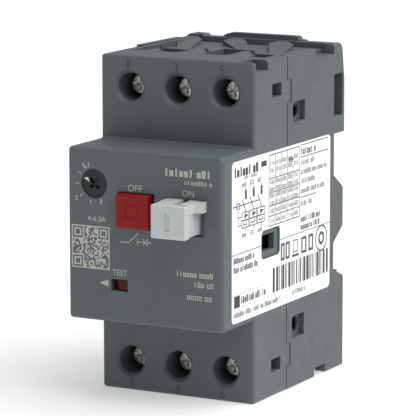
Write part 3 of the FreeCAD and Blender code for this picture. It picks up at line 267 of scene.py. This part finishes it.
class Shader:
    """A procedural material and short names for the nodes it is made of."""

    def __init__(self, name):
        self.material = bpy.data.materials.new(name)
        self.material.use_nodes = True
        self.tree = self.material.node_tree
        self.surface = self.tree.nodes["Principled BSDF"]
        self.place = self.tree.nodes.new("ShaderNodeTexCoord").outputs["Object"]

    def link(self, output, target):
        """Join an output to an input."""
        self.tree.links.new(output, target)

    def noise(self, scale, detail=2.0, roughness=0.5, stretch=None):
        """Noise in the object's own space. scale is features per metre."""
        place = self.place
        if stretch is not None:
            mapping = self.tree.nodes.new("ShaderNodeMapping")
            mapping.inputs["Scale"].default_value = stretch
            self.link(place, mapping.inputs["Vector"])
            place = mapping.outputs["Vector"]
        node = self.tree.nodes.new("ShaderNodeTexNoise")
        node.inputs["Scale"].default_value = scale
        node.inputs["Detail"].default_value = detail
        node.inputs["Roughness"].default_value = roughness
        self.link(place, node.inputs["Vector"])
        return node.outputs["Fac"]

    def spread(self, value, low, high, start=0.3, end=0.7):
        """Map a value between start and end onto low to high."""
        node = self.tree.nodes.new("ShaderNodeMapRange")
        node.inputs["From Min"].default_value = start
        node.inputs["From Max"].default_value = end
        node.inputs["To Min"].default_value = low
        node.inputs["To Max"].default_value = high
        self.link(value, node.inputs["Value"])
        return node.outputs["Result"]

    def multiply(self, first, second):
        """Product of two values."""
        node = self.tree.nodes.new("ShaderNodeMath")
        node.operation = "MULTIPLY"
        self.link(first, node.inputs[0])
        self.link(second, node.inputs[1])
        return node.outputs["Value"]

    def mix(self, factor, first, second):
        """Mix two colours, each an output or an (r, g, b)."""
        node = self.tree.nodes.new("ShaderNodeMix")
        node.data_type = "RGBA"
        self.link(factor, node.inputs["Factor"])
        for value, target in ((first, node.inputs[6]), (second, node.inputs[7])):
            if isinstance(value, tuple):
                target.default_value = (*value, 1.0)
            else:
                self.link(value, target)
        return node.outputs[2]

    def edges(self, radius):
        """1 on sharp edges and 0 on flat faces."""
        soft = self.tree.nodes.new("ShaderNodeBevel")
        soft.samples = WEAR_SAMPLES
        soft.inputs["Radius"].default_value = radius * MM
        geometry = self.tree.nodes.new("ShaderNodeNewGeometry")
        dot = self.tree.nodes.new("ShaderNodeVectorMath")
        dot.operation = "DOT_PRODUCT"
        self.link(soft.outputs["Normal"], dot.inputs[0])
        self.link(geometry.outputs["Normal"], dot.inputs[1])
        return self.spread(dot.outputs["Value"], 1.0, 0.0, *WEAR_SPAN)

    def bump(self, height, strength, depth, below=None):
        """Normal of a surface that rises by depth where the height is 1, laid over another normal."""
        node = self.tree.nodes.new("ShaderNodeBump")
        node.inputs["Strength"].default_value = strength
        node.inputs["Distance"].default_value = depth * MM
        self.link(height, node.inputs["Height"])
        if below is not None:
            self.link(below, node.inputs["Normal"])
        return node.outputs["Normal"]


def shade(colour, factor):
    """A colour made lighter by a factor over 1 or darker by one under 1."""
    return tuple(min(1.0, channel * factor) for channel in colour)


def moulded(name, colour, roughness, wear=1.35, specular=0.5):
    """Moulded plastic with a fine eroded grain, faint flow marks and lighter worn edges."""
    s = Shader(name)
    cloud = s.spread(s.noise(120, detail=3.0), low=0.0, high=1.0)
    speck = s.spread(s.noise(9000, detail=1.0), low=0.0, high=1.0, start=0.35, end=0.65)
    base = s.mix(cloud, shade(colour, 0.95), shade(colour, 1.05))
    base = s.mix(s.spread(speck, low=0.0, high=0.25, start=0.0, end=1.0), base, shade(colour, 1.22))
    patches = s.spread(s.noise(700, detail=3.0), low=0.15, high=0.75)
    base = s.mix(s.multiply(s.edges(radius=0.22), patches), base, shade(colour, wear))
    s.link(base, s.surface.inputs["Base Color"])
    dull = s.spread(s.noise(350, detail=4.0), low=roughness - 0.05, high=roughness + 0.07)
    s.link(dull, s.surface.inputs["Roughness"])
    s.surface.inputs["Specular IOR Level"].default_value = specular
    flow = s.bump(s.noise(160), strength=0.05, depth=0.10)
    grain = s.bump(s.noise(4200, detail=3.0), strength=0.12, depth=0.05, below=flow)
    s.link(grain, s.surface.inputs["Normal"])
    return s.material


def metal(name, colour, roughness, brush=(1.0, 1.0, 1.0), tarnish=0.75):
    """Plated or bare metal with drawing marks, dull patches and bright edges."""
    s = Shader(name)
    patch = s.spread(s.noise(420, detail=4.0), low=0.0, high=1.0, start=0.38, end=0.68)
    marks = s.noise(3200, detail=3.0, roughness=0.6, stretch=brush)
    base = s.mix(patch, colour, shade(colour, tarnish))
    polish = s.spread(patch, low=0.9, high=0.4, start=0.0, end=1.0)
    base = s.mix(s.multiply(s.edges(radius=0.12), polish), base, shade(colour, 1.3))
    s.link(base, s.surface.inputs["Base Color"])
    s.surface.inputs["Metallic"].default_value = 1.0
    dull = s.spread(marks, low=roughness - 0.08, high=roughness + 0.14)
    s.link(dull, s.surface.inputs["Roughness"])
    s.link(s.bump(marks, strength=0.18, depth=0.02), s.surface.inputs["Normal"])
    return s.material


def ink_and_painted_shade(name, colour, roughness, thin=0.85):
    """Printing ink that lies a little unevenly, also used as the painted shade of the moulded
    terminal numbers.
    """
    s = Shader(name)
    cover = s.spread(s.noise(2600, detail=3.0), low=0.0, high=1.0, start=0.35, end=0.62)
    s.link(s.mix(cover, shade(colour, thin), colour), s.surface.inputs["Base Color"])
    dull = s.spread(s.noise(1500), low=roughness - 0.06, high=roughness + 0.08)
    s.link(dull, s.surface.inputs["Roughness"])
    s.link(s.bump(s.noise(5000), strength=0.10, depth=0.01), s.surface.inputs["Normal"])
    return s.material


def film(name, colour):
    """White label film with a faint texture and slightly greyed edges."""
    s = Shader(name)
    cloud = s.spread(s.noise(90, detail=3.0), low=0.0, high=1.0)
    base = s.mix(cloud, shade(colour, 0.97), colour)
    patches = s.spread(s.noise(600), low=0.2, high=0.6)
    base = s.mix(s.multiply(s.edges(radius=0.25), patches), base, shade(colour, 0.8))
    s.link(base, s.surface.inputs["Base Color"])
    dull = s.spread(s.noise(500, detail=3.0), low=0.36, high=0.48)
    s.link(dull, s.surface.inputs["Roughness"])
    s.surface.inputs["Specular IOR Level"].default_value = 0.35
    s.link(s.bump(s.noise(1800, detail=3.0), strength=0.05, depth=0.03), s.surface.inputs["Normal"])
    return s.material


def floor_paint(name, colour):
    """Pale studio floor with a hardly visible mottle and a glow that keeps its shadows light."""
    s = Shader(name)
    mottle = s.spread(s.noise(14, detail=3.0), low=0.0, high=1.0)
    s.link(s.mix(mottle, shade(colour, 0.985), colour), s.surface.inputs["Base Color"])
    s.link(s.spread(s.noise(40), low=0.75, high=0.85), s.surface.inputs["Roughness"])
    s.surface.inputs["Specular IOR Level"].default_value = 0.1
    s.surface.inputs["Emission Color"].default_value = WHITE
    s.surface.inputs["Emission Strength"].default_value = FLOOR_GLOW
    s.link(s.bump(s.noise(900), strength=0.03, depth=0.05), s.surface.inputs["Normal"])
    return s.material


GREY = (0.084, 0.100, 0.109)

MATERIALS = {
    "cover_plastic": moulded("cover_plastic", GREY, 0.50),
    "base_plastic": moulded("base_plastic", shade(GREY, 0.98), 0.52),
    "label_film": film("label_film", (0.88, 0.88, 0.88)),
    "on_button_plastic": moulded("on_button_plastic", (0.48, 0.52, 0.515), 0.42, wear=1.10),
    "off_button_plastic": moulded("off_button_plastic", (0.235, 0.007, 0.009), 0.48, wear=1.15,
                                  specular=0.2),
    "slider_plastic": moulded("slider_plastic", (0.060, 0.006, 0.004), 0.5, specular=0.25),
    "dial_plastic": moulded("dial_plastic", (0.014, 0.016, 0.018), 0.42, wear=2.0, specular=0.35),
    "lever_plastic": moulded("lever_plastic", (0.030, 0.030, 0.034), 0.50, wear=1.8),
    "carrier_plastic": moulded("carrier_plastic", (0.10, 0.06, 0.035), 0.55),
    "clip_plastic": moulded("clip_plastic", (0.028, 0.031, 0.034), 0.48, wear=1.8),
    "bobbin_plastic": moulded("bobbin_plastic", (0.62, 0.60, 0.52), 0.45, wear=1.1),
    "frame_steel": metal("frame_steel", (0.58, 0.58, 0.56), 0.38, (1.0, 1.0, 0.1)),
    "yoke_steel": metal("yoke_steel", (0.46, 0.46, 0.47), 0.40, (0.1, 1.0, 1.0)),
    "arc_plate_steel": metal("arc_plate_steel", (0.42, 0.41, 0.40), 0.45, (0.1, 1.0, 1.0)),
    "bimetal_strip": metal("bimetal_strip", (0.55, 0.50, 0.42), 0.36, (1.0, 1.0, 0.1)),
    "screw_steel": metal("screw_steel", (0.60, 0.59, 0.55), 0.26, tarnish=0.88),
    "cage_steel": metal("cage_steel", (0.58, 0.57, 0.54), 0.36, (1.0, 0.1, 1.0)),
    "spring_steel": metal("spring_steel", (0.46, 0.46, 0.47), 0.28),
    "bar_copper": metal("bar_copper", (0.80, 0.47, 0.28), 0.34, (1.0, 1.0, 0.1), 0.6),
    "contact_copper": metal("contact_copper", (0.80, 0.55, 0.38), 0.30, (1.0, 1.0, 0.1), 0.7),
    "coil_copper": metal("coil_copper", (0.72, 0.34, 0.15), 0.26, tarnish=0.7),
}
PRINT_LIGHT = ink_and_painted_shade("print_light", (0.47, 0.47, 0.43), 0.5)
PRINT_BLACK = ink_and_painted_shade("print_black", (0.016, 0.017, 0.018), 0.45, 1.6)
PRINT_GREY = ink_and_painted_shade("print_grey", (0.06, 0.06, 0.065), 0.5, 1.25)
PRINT_PALE = ink_and_painted_shade("print_pale", (0.20, 0.20, 0.205), 0.5, 1.1)
PRINT_DARK = ink_and_painted_shade("print_dark", (0.05, 0.05, 0.055), 0.5, 1.3)
PRINT_WHITE = ink_and_painted_shade("print_white", (0.72, 0.72, 0.70), 0.5, 0.92)
# Painted shade: the terminal numbers are moulded in the cover's grey, and this darker grey stands in
# for the shading of their relief.
NUMBER_PAINTED_SHADE = ink_and_painted_shade("number_painted_shade", shade(GREY, 0.58), 0.6)
LABEL_TEXT = (
    ("label_title", PRINT_BLACK, BOLD_TEXT),
    ("label_dark_text", PRINT_GREY, DARK_TEXT),
    ("label_pale_text", PRINT_PALE, PALE_TEXT),
)


def finish_cad_nodes():
    """Give every CAD node its material and every moulded or machined one soft edges."""
    for part in frame["record"]["subparts"]:
        node = frame["nodes"][part["node"]]
        node.data.materials.clear()
        node.data.materials.append(MATERIALS[part["material_slot"]])
        softness = EDGE_SOFTNESS.get(part["node"], 0)
        if part["node"].startswith("terminal_screw"):
            softness = SCREW_SOFTNESS
        if part["node"].startswith("clamp_cage"):
            softness = CAGE_SOFTNESS
        if softness:
            soften(node, softness)


def soften(node, width):
    """Join the node's split vertices and bevel its sharp edges."""
    weld = node.modifiers.new("weld", "WELD")
    weld.merge_threshold = WELD_DISTANCE * MM
    bevel = node.modifiers.new("bevel", "BEVEL")
    bevel.width = width * MM
    bevel.segments = SOFT_SEGMENTS
    bevel.limit_method = "ANGLE"
    bevel.angle_limit = math.radians(SHARP_ANGLE)
    bevel.harden_normals = True
    bevel.miter_outer = "MITER_ARC"


def add_springs():
    """Rigid stand-ins for the spring coils: copies of their meshes fixed to the housing, with the CAD
    nodes hidden.
    """
    for name, joint, axis, fixed_end, left in SPRINGS:
        node = frame["nodes"][name]
        coil = new_object(name + "_coil", node.data.copy())
        coil.matrix_world = node.matrix_world.copy()
        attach(coil, "housing")
        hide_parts(name)
        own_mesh(coil)


# ---- Printing ---------------------------------------------------------------


def front_plane(y):
    """Places a (right, up) point on a face that looks out of the front."""
    return lambda u, v, lift: Vector((u, y - lift, v)) * MM


def side_plane(x):
    """Places a (rearward, up) point on the right side."""
    return lambda u, v, lift: Vector((x + lift, u, v)) * MM


class Print:
    """One printed layer: flat shapes a few hundredths of a millimetre thick."""

    def __init__(self, place):
        self.mesh = bmesh.new()
        self.place = place

    def polygon(self, points):
        """A filled outline of (u, v) points."""
        low = [self.mesh.verts.new(self.place(u, v, INK_LIFT)) for u, v in points]
        high = [self.mesh.verts.new(self.place(u, v, INK_LIFT + INK_THICK)) for u, v in points]
        self.mesh.faces.new(high)
        for i in range(len(points)):
            j = (i + 1) % len(points)
            self.mesh.faces.new((low[i], low[j], high[j], high[i]))

    def rectangle(self, u, v):
        """A filled block given as two (low, high) pairs."""
        self.polygon([(u[0], v[0]), (u[1], v[0]), (u[1], v[1]), (u[0], v[1])])

    def line(self, start, end, width):
        """A straight stroke."""
        along = Vector(end) - Vector(start)
        across = Vector((-along.y, along.x)).normalized() * width / 2
        self.polygon([Vector(start) - across, Vector(end) - across,
                      Vector(end) + across, Vector(start) + across])

    def frame(self, u, v, width):
        """An open rectangle drawn with a stroke."""
        self.rectangle(u, (v[0], v[0] + width))
        self.rectangle(u, (v[1] - width, v[1]))
        self.rectangle((u[0], u[0] + width), (v[0] + width, v[1] - width))
        self.rectangle((u[1] - width, u[1]), (v[0] + width, v[1] - width))

    def ring(self, centre, radius, width):
        """A circle drawn with a stroke."""
        def on_circle(turn, reach):
            return centre[0] + reach * math.cos(turn), centre[1] + reach * math.sin(turn)

        for i in range(RING_STEPS):
            start, end = (2 * math.pi * (i + k) / RING_STEPS for k in (0, 1))
            inside = radius - width
            self.polygon([on_circle(start, inside), on_circle(start, radius),
                          on_circle(end, radius), on_circle(end, inside)])

    def words(self, u, v, dice, pitch, weight):
        """A row of unreadable text: open boxes and posts grouped like letters in words."""
        tall = v[1] - v[0]
        step = tall * pitch
        stroke = tall * weight
        at = u[0]
        left = dice.randint(*WORD_LETTERS)
        while at + step < u[1]:
            shape = dice.choice(LETTER_SHAPES)
            top = v[1] - tall * dice.choice(LETTER_DROPS)
            if shape == "O":
                self.frame((at, at + step * LETTER_WIDTH), (v[0], top), stroke)
            else:
                post = at + step * POST_INDENT
                self.rectangle((post, post + stroke), v)
            at += step
            left -= 1
            if left == 0:
                at += step * WORD_GAP
                left = dice.randint(*WORD_LETTERS)

    def piece(self, name, material, body):
        """Turn the layer into an object that rides on a body."""
        bmesh.ops.recalc_face_normals(self.mesh, faces=self.mesh.faces[:])
        data = bpy.data.meshes.new(name)
        self.mesh.to_mesh(data)
        self.mesh.free()
        data.materials.append(material)
        made = new_object(name, data)
        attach(made, body)


def lettering(name, text, u, v, place, material, body):
    """Generic letters or digits fitted into the box given by two (low, high) pairs."""
    curve = bpy.data.curves.new(name, "FONT")
    curve.body = text
    curve.resolution_u = FONT_STEPS
    curve.extrude = FONT_DEPTH
    draft = new_object(name + "_draft", curve)
    final = draft.evaluated_get(bpy.context.evaluated_depsgraph_get())
    data = bpy.data.meshes.new_from_object(final)
    bpy.data.objects.remove(draft)
    low = [min(vertex.co[k] for vertex in data.vertices) for k in range(3)]
    high = [max(vertex.co[k] for vertex in data.vertices) for k in range(3)]
    for vertex in data.vertices:
        share = [(vertex.co[k] - low[k]) / (high[k] - low[k]) for k in range(3)]
        vertex.co = place(u[0] + share[0] * (u[1] - u[0]), v[0] + share[1] * (v[1] - v[0]),
                          INK_LIFT + share[2] * INK_THICK)
    data.name = name
    data.materials.clear()
    data.materials.append(material)
    made = new_object(name, data)
    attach(made, body)


def in_mm(node):
    """Lowest and highest corner of a CAD node in millimetres."""
    low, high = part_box(node)
    return low / MM, high / MM


def print_nose():
    """Everything printed on the front of the nose."""
    face = front_plane(in_mm("front_cover")[0].y)
    scale = Print(face)
    for angle in DIAL_TICKS:
        turn = math.radians(angle)
        way = Vector((math.cos(turn), math.sin(turn)))
        start = Vector(DIAL_CENTRE) + way * TICK_RADIUS
        scale.line(start, start + way * TICK_LENGTH, TICK_WIDTH)
    scale.piece("dial_ticks", PRINT_LIGHT, "housing")
    for name, text, u, v in NOSE_WORDS:
        lettering(name, text, u, v, face, PRINT_LIGHT, "housing")
    symbol = Print(face)
    for start, end in SWITCH_SYMBOL:
        symbol.line(start, end, SYMBOL_WIDTH)
    symbol.piece("switch_symbol", PRINT_LIGHT, "housing")
    arrow = Print(face)
    arrow.polygon(TEST_ARROW)
    arrow.piece("test_arrow", PRINT_LIGHT, "housing")
    marks = Print(face)
    dice = random.Random(SEED)
    for u, v, pitch, weight in NOSE_MARKS:
        marks.words(u, v, dice, pitch, weight)
    marks.piece("nose_marks", PRINT_LIGHT, "housing")


def print_matrix_code():
    """A square of random modules with three corner targets, printed in a light ink."""
    dice = random.Random(SEED)
    count = MATRIX_MODULES
    light = [[dice.random() < 0.5 for column in range(count)] for row in range(count)]
    far = count - TARGET_MODULES
    for first_row, first_column in ((0, 0), (0, far), (far, 0)):
        middle_row = TARGET_MIDDLE + (first_row > 0)
        middle_column = TARGET_MIDDLE + (first_column > 0)
        for row in range(TARGET_MODULES):
            for column in range(TARGET_MODULES):
                reach = max(abs(row - middle_row), abs(column - middle_column))
                light[first_row + row][first_column + column] = reach in TARGET_RINGS
    face = front_plane(in_mm("front_cover")[0].y)
    code = Print(face)
    u, v = MATRIX_BOX
    code.frame(u, v, MATRIX_BORDER)
    step = (u[1] - u[0] - 2 * MATRIX_BORDER) / count
    left = u[0] + MATRIX_BORDER
    for row in range(count):
        low = v[0] + MATRIX_BORDER + row * step
        column = 0
        while column < count:
            if not light[count - 1 - row][column]:
                column += 1
                continue
            end = column
            while end < count and light[count - 1 - row][end]:
                end += 1
            code.rectangle((left + column * step, left + end * step), (low, low + step))
            column = end
    code.piece("matrix_code", PRINT_LIGHT, "housing")


def print_dial_arrow():
    """Pointer on the dial, which turns with it."""
    pointer = Print(front_plane(in_mm("current_dial")[0].y))
    pointer.polygon(DIAL_ARROW)
    pointer.piece("dial_arrow", PRINT_WHITE, "dial")


def draw_terminal_numbers_in_painted_shade():
    """Terminal numbers above and below the screw holes, as flat marks in a painted shade of the grey
    that stands in for the shading of their moulded relief.
    """
    face = front_plane(TERMINAL_FACE)
    for text, half, middle, low in TERMINAL_NUMBERS:
        lettering("terminal_number_" + text, text, (middle - half, middle + half),
                  (low, low + TERMINAL_NUMBER_HEIGHT), face, NUMBER_PAINTED_SHADE, "housing")


def print_label_text(face):
    """Unreadable text lines of the rating label, in three strengths."""
    for name, material, rows in LABEL_TEXT:
        layer = Print(face)
        dice = random.Random(SEED)
        for u, v, pitch, weight in rows:
            layer.words(u, v, dice, pitch, weight)
        layer.piece(name, material, "housing")


def print_label_table(face):
    """Ruled table with unreadable cell values."""
    dice = random.Random(SEED)
    rules = Print(face)
    whole_width = (TABLE_COLUMNS[0], TABLE_COLUMNS[-1])
    for level in TABLE_ROWS:
        rules.rectangle(whole_width, (level - TABLE_ROW_HALF, level + TABLE_ROW_HALF))
    for number, column in enumerate(TABLE_COLUMNS):
        top = TABLE_SPLIT if number == TABLE_SPLIT_COLUMN else TABLE_ROWS[0]
        rules.rectangle((column - TABLE_COLUMN_HALF, column + TABLE_COLUMN_HALF),
                        (TABLE_ROWS[-1], top))
    rules.rectangle(*TABLE_SYMBOL_BAR)
    rules.frame(*TABLE_SYMBOL_FRAME)
    rules.piece("label_table", PRINT_BLACK, "housing")
    cells = Print(face)
    for low, high in zip(TABLE_ROWS[1:], TABLE_ROWS[:-1]):
        for start, end in zip(TABLE_COLUMNS[:-1], TABLE_COLUMNS[1:]):
            middle = (low + high) / 2
            lines = (middle,)
            if high - low >= CELL_TWO_LINES:
                lines = (middle - CELL_LINE_SHIFT, middle + CELL_LINE_SHIFT)
            for line in lines:
                cells.words((start + CELL_START, end - CELL_END),
                            (line - CELL_HALF_HEIGHT, line + CELL_HALF_HEIGHT),
                            dice, CELL_PITCH, CELL_STROKE)
    cells.piece("label_cells", PRINT_PALE, "housing")


def print_label_diagram(face):
    """Wiring diagram of the poles."""
    art = Print(face)
    for start, end, width in DIAGRAM_LINES:
        art.line(start, end, width)
    for pole in range(POLES):
        right = pole * POLE_PITCH
        u, v = POLE_TERMINAL
        art.rectangle((u[0] + right, u[1] + right), v)
        for start, end, width in POLE_LINES:
            art.line((start[0] + right, start[1]), (end[0] + right, end[1]), width)
        for u, v, width in POLE_BOXES:
            art.frame((u[0] + right, u[1] + right), v, width)
        art.polygon([(u + right, v) for u, v in POLE_ARROW])
        for u, v in POLE_HEATER:
            art.rectangle((u[0] + right, u[1] + right), v)
    art.frame(*DIAGRAM_BOX)
    art.piece("label_diagram", PRINT_DARK, "housing")


def print_label_shapes(face):
    """Rules, plain blocks, plain outline marks and random bars of the rating label."""
    heavy = Print(face)
    for u, v in LABEL_BLOCKS:
        heavy.rectangle(u, v)
    dice = random.Random(SEED)
    at = BAR_FIELD[0]
    while at < BAR_FIELD[1] - BAR_SPARE:
        width = dice.choice(BAR_WIDTHS)
        heavy.rectangle((at, min(BAR_FIELD[1], at + width)), BAR_HEIGHTS)
        at += width + dice.choice(BAR_GAPS)
    heavy.piece("label_blocks", PRINT_BLACK, "housing")
    rules = Print(face)
    for u, level, width in LABEL_RULES:
        rules.rectangle(u, (level - width / 2, level + width / 2))
    rules.piece("label_rules", PRINT_GREY, "housing")
    marks = Print(face)
    for u, v, width in OUTLINE_SQUARES:
        marks.frame(u, v, width)
    for centre, radius, width in OUTLINE_RINGS:
        marks.ring(centre, radius, width)
    marks.piece("label_outlines", PRINT_GREY, "housing")


def print_label():
    """Everything printed on the rating label."""
    face = side_plane(in_mm("rating_label")[1].x)
    print_label_text(face)
    print_label_table(face)
    print_label_diagram(face)
    print_label_shapes(face)


def finish_studio():
    """Floor, light and world."""
    mesh = bmesh.new()
    bmesh.ops.create_grid(mesh, x_segments=FLOOR_CELLS[0], y_segments=FLOOR_CELLS[1],
                          size=FLOOR_HALF_SIZE * MM)
    data = bpy.data.meshes.new("floor")
    mesh.to_mesh(data)
    mesh.free()
    data.materials.append(floor_paint("floor_paint", FLOOR_COLOUR))
    floor = new_object("floor", data)
    floor.location = (0, 0, cad_box[0].z)
    add_sun("key", KEY_DIRECTION, KEY_STRENGTH, KEY_ANGLE)
    add_sun("front", FRONT_DIRECTION, FRONT_STRENGTH, FRONT_ANGLE)
    add_world()


def add_sun(name, direction, strength, angle):
    """Distant light from a direction, softer the wider its angle in degrees."""
    data = bpy.data.lights.new(name, "SUN")
    data.energy = strength
    data.angle = math.radians(angle)
    lamp = new_object(name, data)
    lamp.rotation_euler = Vector(direction).to_track_quat("Z", "Y").to_euler()


def add_world():
    """Even pale surroundings, brighter where the camera sees them directly."""
    world = bpy.data.worlds.new("studio")
    world.use_nodes = True
    tree = world.node_tree
    around = tree.nodes["Background"]
    around.inputs["Color"].default_value = WHITE
    around.inputs["Strength"].default_value = WORLD_STRENGTH
    seen = tree.nodes.new("ShaderNodeBackground")
    seen.inputs["Strength"].default_value = BACKDROP_STRENGTH
    path = tree.nodes.new("ShaderNodeLightPath")
    choice = tree.nodes.new("ShaderNodeMixShader")
    tree.links.new(path.outputs["Is Camera Ray"], choice.inputs["Fac"])
    tree.links.new(around.outputs["Background"], choice.inputs[1])
    tree.links.new(seen.outputs["Background"], choice.inputs[2])
    tree.links.new(choice.outputs["Shader"], tree.nodes["World Output"].inputs["Surface"])
    bpy.context.scene.world = world


def add_camera():
    """Camera at the photograph's viewing angle."""
    data = bpy.data.cameras.new("camera")
    data.lens = CAMERA_LENS
    data.sensor_width = CAMERA_SENSOR
    data.clip_start, data.clip_end = CAMERA_CLIP
    camera = new_object("camera", data)
    camera.location = Vector(CAMERA_EYE) * MM
    camera.rotation_euler = Vector(CAMERA_FORWARD).to_track_quat("-Z", "Y").to_euler()
    bpy.context.scene.camera = camera
    bpy.context.scene.view_settings.view_transform = "Standard"


finish_cad_nodes()
add_springs()
print_nose()
print_matrix_code()
print_dial_arrow()
draw_terminal_numbers_in_painted_shade()
print_label()
finish_studio()
add_camera()
